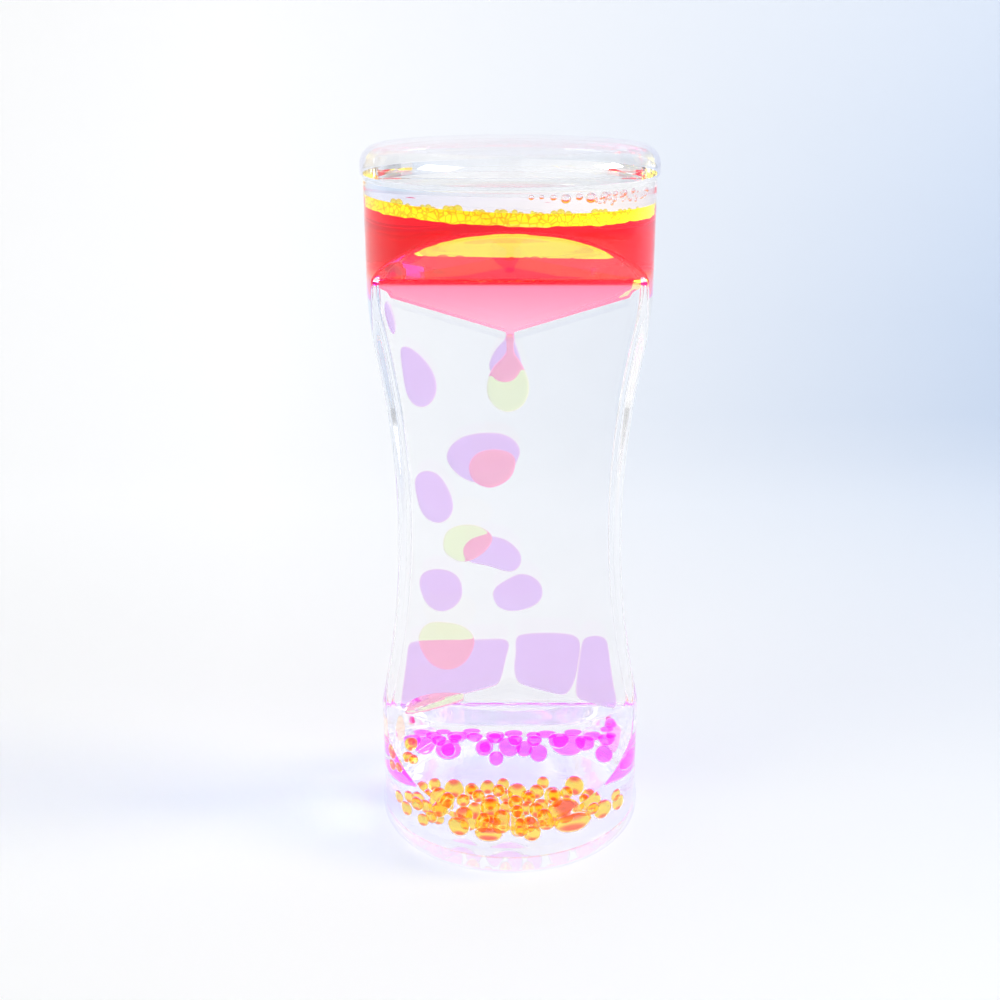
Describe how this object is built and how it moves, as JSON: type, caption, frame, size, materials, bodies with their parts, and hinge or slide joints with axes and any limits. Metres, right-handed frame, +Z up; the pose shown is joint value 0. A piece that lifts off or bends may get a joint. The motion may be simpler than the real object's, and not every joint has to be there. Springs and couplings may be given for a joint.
{
  "type": "liquid motion timer",
  "caption": "Clear waisted column with capped round ends and flat windows, in which coloured water drops fall through oil in a front and a rear chamber over sloped ramps.",
  "frame": {"origin": "middle of the foot's flat face", "axes": "+Z up along the column's long axis, the front chamber's window faces -Y, +X to the right seen from the front"},
  "size_m": [0.055, 0.055, 0.14],
  "materials": {
    "clear_acrylic": "clear, polished",
    "yellow_water": "clear yellow liquid, deep",
    "magenta_water": "clear magenta liquid, deep",
    "thin_yellow_water": "clear yellow liquid, thin, pale lime",
    "thin_magenta_water": "clear magenta liquid, thin, pale lavender"
  },
  "bodies": {
    "column": {"front_shell": "clear_acrylic", "rear_shell": "clear_acrylic", "divider": "clear_acrylic", "top_cap": "clear_acrylic", "bottom_cap": "clear_acrylic", "front_fill_plug": "clear_acrylic", "rear_fill_plug": "clear_acrylic", "front_upper_ramp": "clear_acrylic", "rear_upper_ramp": "clear_acrylic", "front_lower_ramp": "clear_acrylic", "rear_lower_ramp": "clear_acrylic", "front_upper_pool": "yellow_water", "front_floor_beads": "yellow_water", "front_gap_drop": "yellow_water", "rear_upper_pool": "magenta_water", "rear_floor_beads": "magenta_water", "rear_gap_drop": "magenta_water", "front_hanging_drop": "thin_yellow_water", "front_ramp_film": "thin_yellow_water", "rear_hanging_drop": "thin_magenta_water", "rear_side_sliver": "thin_magenta_water", "rear_resting_left": "thin_magenta_water", "rear_resting_middle": "thin_magenta_water", "rear_resting_right": "thin_magenta_water"},
    "front_stream": {"front_drop_1": "thin_yellow_water", "front_drop_2": "thin_yellow_water", "front_drop_3": "thin_yellow_water"},
    "rear_stream": {"rear_drop_1": "thin_magenta_water", "rear_drop_2": "thin_magenta_water", "rear_drop_3": "thin_magenta_water", "rear_drop_4": "thin_magenta_water", "rear_drop_5": "thin_magenta_water", "rear_drop_6": "thin_magenta_water"}
  },
  "joints": [
    {"name": "front_drops_fall", "type": "slide", "parent": "column", "child": "front_stream", "axis": [0, 0, -1], "range_m": [-0.004, 0.004]},
    {"name": "rear_drops_fall", "type": "slide", "parent": "column", "child": "rear_stream", "axis": [0, 0, -1], "range_m": [-0.004, 0.004]}
  ]
}
